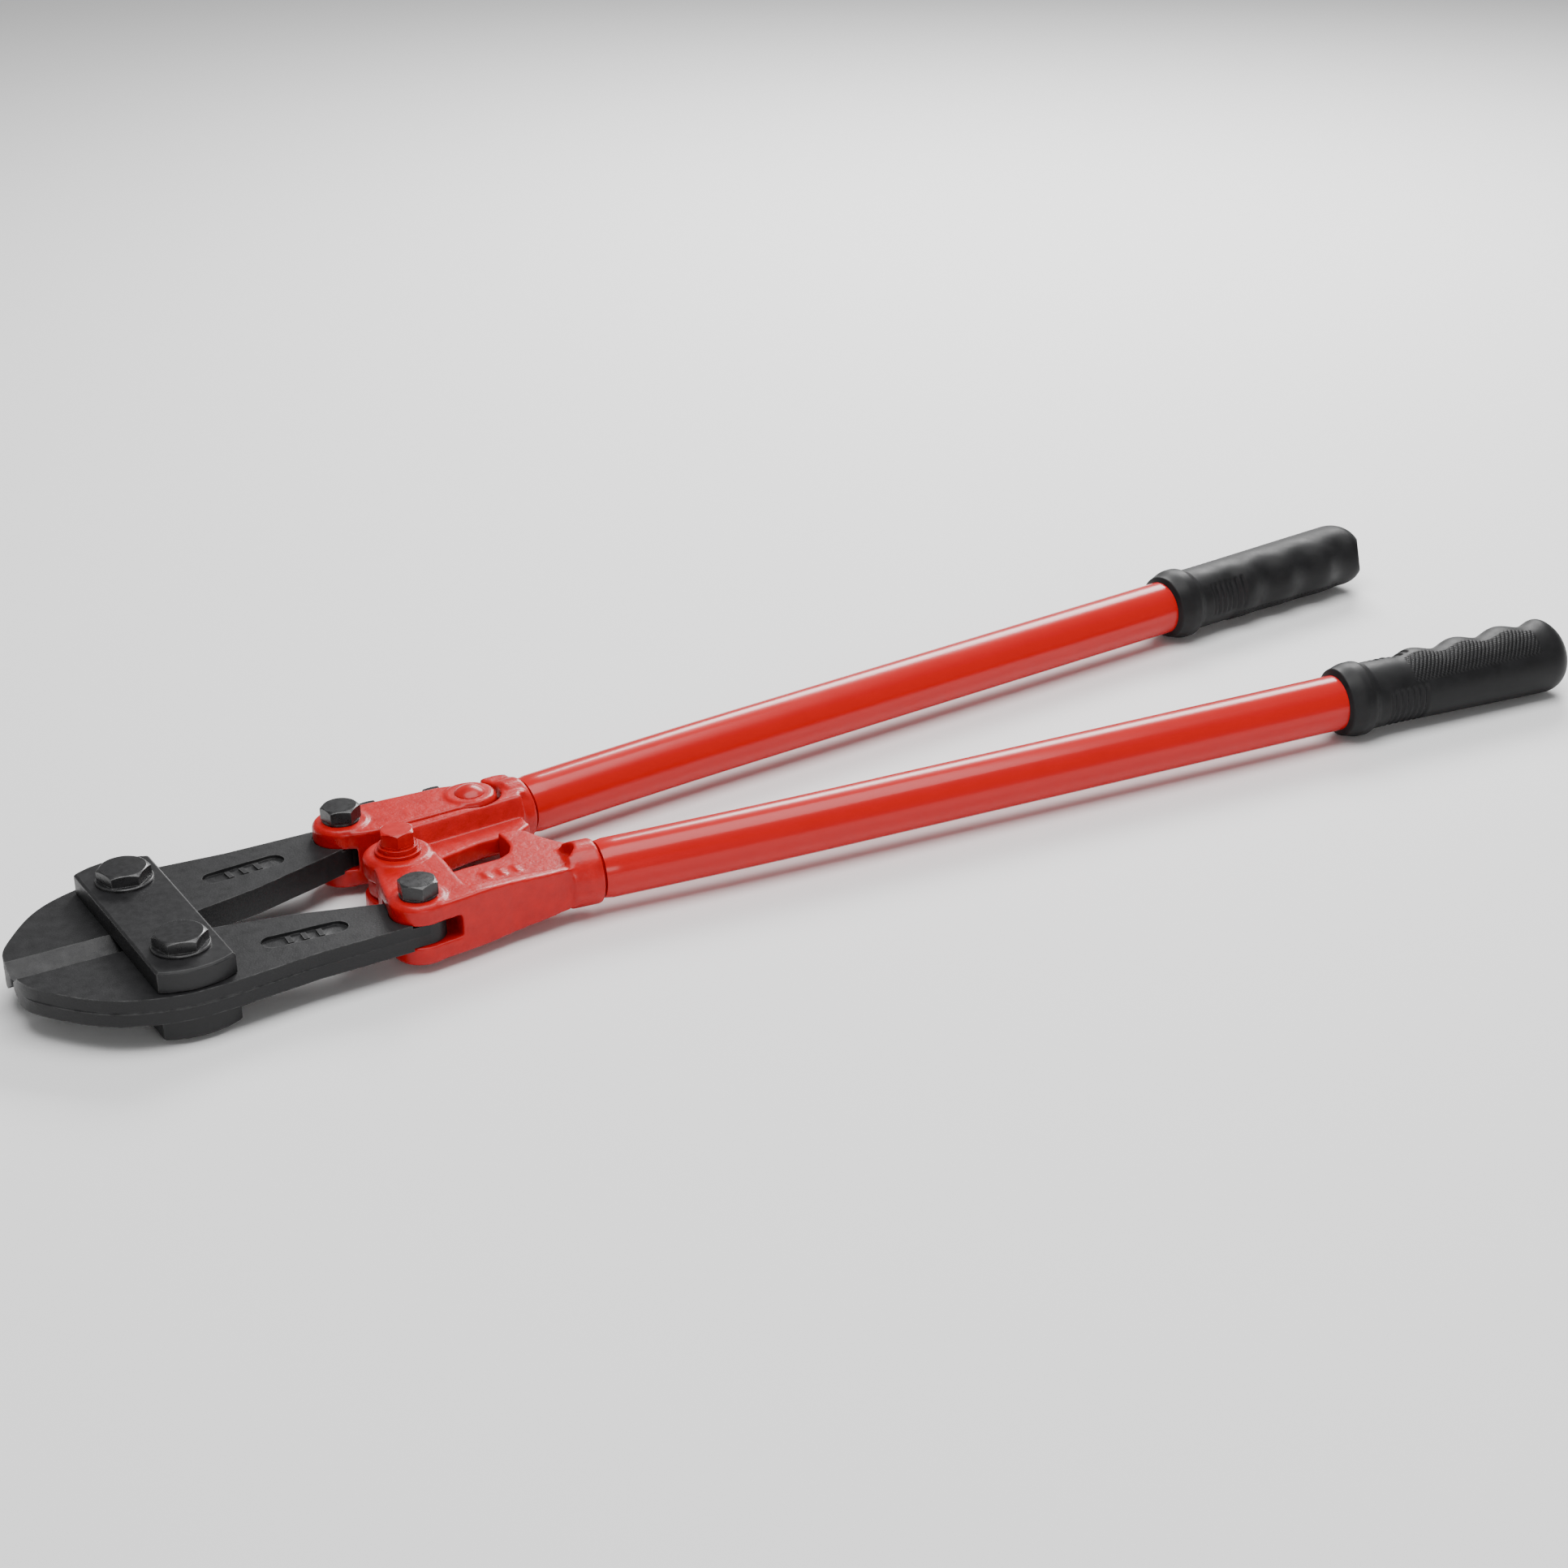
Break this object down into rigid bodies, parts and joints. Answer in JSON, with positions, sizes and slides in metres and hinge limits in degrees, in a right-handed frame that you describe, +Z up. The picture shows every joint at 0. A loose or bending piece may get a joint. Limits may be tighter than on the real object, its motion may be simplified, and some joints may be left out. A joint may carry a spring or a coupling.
{
  "type": "bolt cutters",
  "caption": "Long-handled bolt cutters with centre-cut jaws, a compound lever linkage, tubular steel handles and rubber grips.",
  "frame": {"origin": "centre of the underside of the whole tool's bounding box, with the tool flat and the jaws closed", "axes": "+X from the jaws to the grips, +Y to the right-hand handle, +Z up, square to the blades"},
  "size_m": [0.7788, 0.2066, 0.0442],
  "materials": {
    "blade_steel": "matt black oxide forging",
    "strap_steel": "satin black",
    "fastener_black": "black oxide",
    "forging_red": "semi-gloss paint over a cast skin",
    "fastener_red": "semi-gloss paint",
    "tube_red": "gloss paint",
    "grip_rubber": "moulded matt rubber"
  },
  "bodies": {
    "head": {"top_strap": "strap_steel", "bottom_strap": "strap_steel", "left_jaw_bolt": "fastener_black", "right_jaw_bolt": "fastener_black"},
    "right_blade": {"right_blade": "blade_steel"},
    "left_blade": {"left_blade": "blade_steel"},
    "adjusting_arm": {"adjusting_arm": "forging_red", "right_tail_bolt": "fastener_black", "arm_rivet": "forging_red", "adjusting_lock_nut": "fastener_black", "locking_lock_nut": "fastener_black"},
    "right_handle": {"right_fork": "forging_red", "right_tube": "tube_red", "right_grip": "grip_rubber"},
    "left_handle": {"left_fork": "forging_red", "left_tube": "tube_red", "left_grip": "grip_rubber", "left_tail_bolt": "fastener_black", "centre_bolt": "fastener_red", "centre_plain_washer": "fastener_red", "centre_spring_washer": "fastener_red"},
    "adjusting_screw": {"adjusting_screw": "fastener_black"},
    "locking_screw": {"locking_screw": "fastener_black"}
  },
  "joints": [
    {"name": "right_jaw_pivot", "type": "hinge", "parent": "head", "child": "right_blade", "pos_m": [-0.3252, 0.0358, 0.0186], "axis": [0, 0, -1], "range_deg": [0, 6.21]},
    {"name": "left_jaw_pivot", "type": "hinge", "parent": "head", "child": "left_blade", "pos_m": [-0.3252, -0.0358, 0.0186], "axis": [0, 0, 1], "range_deg": [0, 6.21]},
    {"name": "handle_opening", "type": "hinge", "parent": "right_blade", "child": "adjusting_arm", "pos_m": [-0.22, 0.0437, 0.0186], "axis": [0, 0, 1], "range_deg": [0, 40]},
    {"name": "left_handle_opening", "type": "hinge", "parent": "left_blade", "child": "left_handle", "pos_m": [-0.22, -0.0437, 0.0186], "axis": [0, 0, -1], "range_deg": [0, 40]},
    {"name": "jaw_adjustment", "type": "hinge", "parent": "adjusting_arm", "child": "right_handle", "pos_m": [-0.1584, 0.0383, 0.0186], "axis": [0, 0, 1], "range_deg": [-0.5, 0.5]},
    {"name": "adjusting_screw_turn", "type": "hinge", "parent": "adjusting_arm", "child": "adjusting_screw", "pos_m": [-0.1972, 0.0564, 0.0186], "axis": [0, 1, 0], "range_deg": [-90, 90]},
    {"name": "locking_screw_turn", "type": "hinge", "parent": "adjusting_arm", "child": "locking_screw", "pos_m": [-0.1657, 0.0543, 0.0186], "axis": [0, 1, 0], "range_deg": [-180, 180]}
  ],
  "couplings": [
    {"joint": "right_jaw_pivot", "follows": "handle_opening", "ratio": 0.155},
    {"joint": "left_jaw_pivot", "follows": "handle_opening", "ratio": 0.155},
    {"joint": "left_handle_opening", "follows": "handle_opening", "ratio": 1},
    {"joint": "adjusting_screw_turn", "follows": "jaw_adjustment", "ratio": 180}
  ]
}
